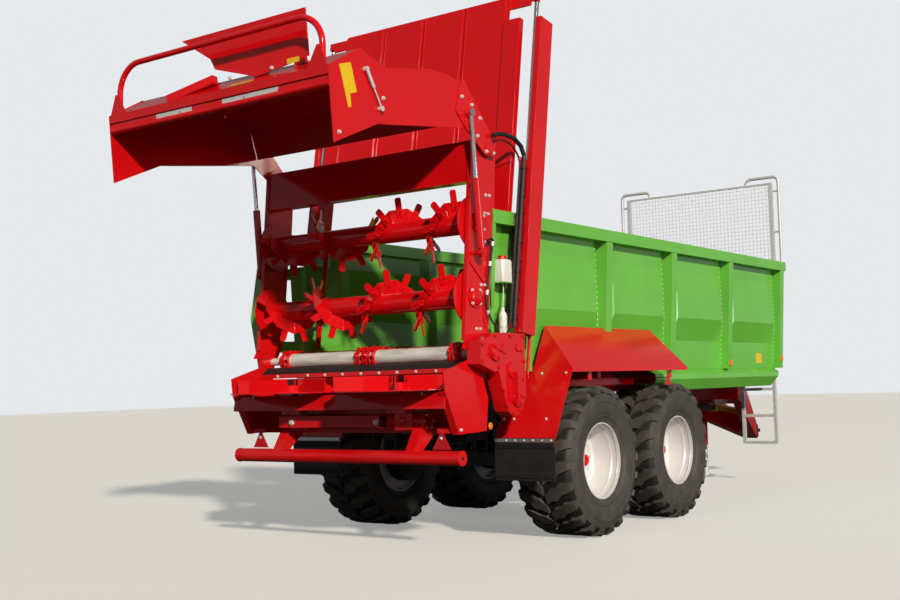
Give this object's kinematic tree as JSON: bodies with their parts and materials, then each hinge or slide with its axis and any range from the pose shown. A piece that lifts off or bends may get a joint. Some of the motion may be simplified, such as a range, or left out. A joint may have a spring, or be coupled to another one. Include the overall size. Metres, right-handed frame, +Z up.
{
  "type": "manure spreader",
  "caption": "Towed tandem-axle box body with a scraper floor, a lifting rear door, horizontal beaters, spreading discs and a raised rear hood.",
  "frame": {"origin": "on the ground under the middle of the overall box", "axes": "+X driving direction, +Y left of the machine, +Z up"},
  "size_m": [9.101, 2.55, 4.1868],
  "materials": {
    "red_paint": "gloss",
    "green_paint": "satin",
    "black_paint": "satin",
    "galvanised": "matt",
    "chrome": "polished",
    "silver_paint": "satin",
    "tyre": "matt",
    "rubber": "matt",
    "yellow_plastic": "satin",
    "white_plastic": "satin",
    "reflector_red": "gloss"
  },
  "bodies": {
    "frame": {"chassis": "red_paint", "drawbar": "red_paint", "hitch_eye": "black_paint", "axles": "black_paint", "springs": "black_paint", "floor": "red_paint", "side_wall_right": "green_paint", "side_wall_left": "green_paint", "front_wall": "green_paint", "skirts": "green_paint", "mesh_guard": "galvanised", "grab_hoops": "galvanised", "ladder": "galvanised", "scraper_chains": "red_paint", "chain_shaft": "galvanised", "chain_gearbox": "red_paint", "door_guides": "red_paint", "door_posts": "red_paint", "door_barrels": "red_paint", "driveline": "black_paint", "beater_frame": "red_paint", "cross_panel": "red_paint", "spreader_table": "red_paint", "rubber_apron": "rubber", "disc_gearboxes": "red_paint", "cross_shaft": "red_paint", "bumper": "red_paint", "reflectors": "reflector_red", "mudguards": "red_paint", "mud_flaps": "rubber", "lubricator": "white_plastic", "hoses": "rubber", "drive_shaft": "yellow_plastic", "jack_sleeve": "red_paint"},
    "door": {"door": "red_paint", "door_rods": "chrome"},
    "beater_upper": {"beater_upper": "red_paint"},
    "beater_lower": {"beater_lower": "red_paint"},
    "disc_right": {"disc_right": "red_paint"},
    "disc_left": {"disc_left": "red_paint"},
    "hood": {"hood": "red_paint", "hood_bow": "red_paint"},
    "hood_barrels": {"hood_barrels": "red_paint"},
    "hood_rods": {"hood_rods": "chrome"},
    "jack_leg": {"jack_leg": "galvanised"},
    "wheel_front_right": {"tyre_front_right": "tyre", "rim_front_right": "silver_paint"},
    "wheel_front_left": {"tyre_front_left": "tyre", "rim_front_left": "silver_paint"},
    "wheel_rear_right": {"tyre_rear_right": "tyre", "rim_rear_right": "silver_paint"},
    "wheel_rear_left": {"tyre_rear_left": "tyre", "rim_rear_left": "silver_paint"}
  },
  "joints": [
    {"name": "wheel_front_right_spin", "type": "hinge", "parent": "frame", "child": "wheel_front_right", "pos_m": [-0.3065, -0.994, 0.58], "axis": [0, 1, 0], "continuous": true},
    {"name": "wheel_front_left_spin", "type": "hinge", "parent": "frame", "child": "wheel_front_left", "pos_m": [-0.3065, 0.994, 0.58], "axis": [0, 1, 0], "continuous": true},
    {"name": "wheel_rear_right_spin", "type": "hinge", "parent": "frame", "child": "wheel_rear_right", "pos_m": [-1.6665, -0.994, 0.58], "axis": [0, 1, 0], "continuous": true},
    {"name": "wheel_rear_left_spin", "type": "hinge", "parent": "frame", "child": "wheel_rear_left", "pos_m": [-1.6665, 0.994, 0.58], "axis": [0, 1, 0], "continuous": true},
    {"name": "door_lift", "type": "slide", "parent": "frame", "child": "door", "axis": [0.165, 0, 0.9863], "range_m": [-1.3186, 0]},
    {"name": "beater_upper_spin", "type": "hinge", "parent": "frame", "child": "beater_upper", "pos_m": [-2.96667, 0, 2.33342], "axis": [0, 1, 0], "continuous": true},
    {"name": "beater_lower_spin", "type": "hinge", "parent": "frame", "child": "beater_lower", "pos_m": [-3.0365, 0, 1.803], "axis": [0, 1, 0], "continuous": true},
    {"name": "disc_right_spin", "type": "hinge", "parent": "frame", "child": "disc_right", "pos_m": [-3.2865, -0.5, 1.165], "axis": [0, 0, 1], "continuous": true},
    {"name": "disc_left_spin", "type": "hinge", "parent": "frame", "child": "disc_left", "pos_m": [-3.2865, 0.5, 1.165], "axis": [0, 0, 1], "continuous": true},
    {"name": "hood_swing", "type": "hinge", "parent": "frame", "child": "hood", "pos_m": [-2.8465, 0, 2.88], "axis": [0, 1, 0], "range_deg": [-72, 0]},
    {"name": "hood_barrel_tilt", "type": "hinge", "parent": "frame", "child": "hood_barrels", "pos_m": [-3.0365, 0, 2.11], "axis": [0, 1, 0], "range_deg": [-4.2, 0.2]},
    {"name": "hood_rod_slide", "type": "slide", "parent": "hood_barrels", "child": "hood_rods", "axis": [-0.0818, 0, 0.9967], "range_m": [-0.4, 0.005]},
    {"name": "jack_lift", "type": "slide", "parent": "frame", "child": "jack_leg", "axis": [0, 0, 1], "range_m": [0, 0.36]}
  ],
  "couplings": [
    {"joint": "beater_upper_spin", "follows": "beater_lower_spin", "ratio": 1},
    {"joint": "disc_left_spin", "follows": "disc_right_spin", "ratio": -1},
    {"joint": "hood_barrel_tilt", "follows": "hood_swing", "ratio": 0.05597},
    {"joint": "hood_rod_slide", "follows": "hood_swing", "m_per_rad": 0.3143}
  ]
}
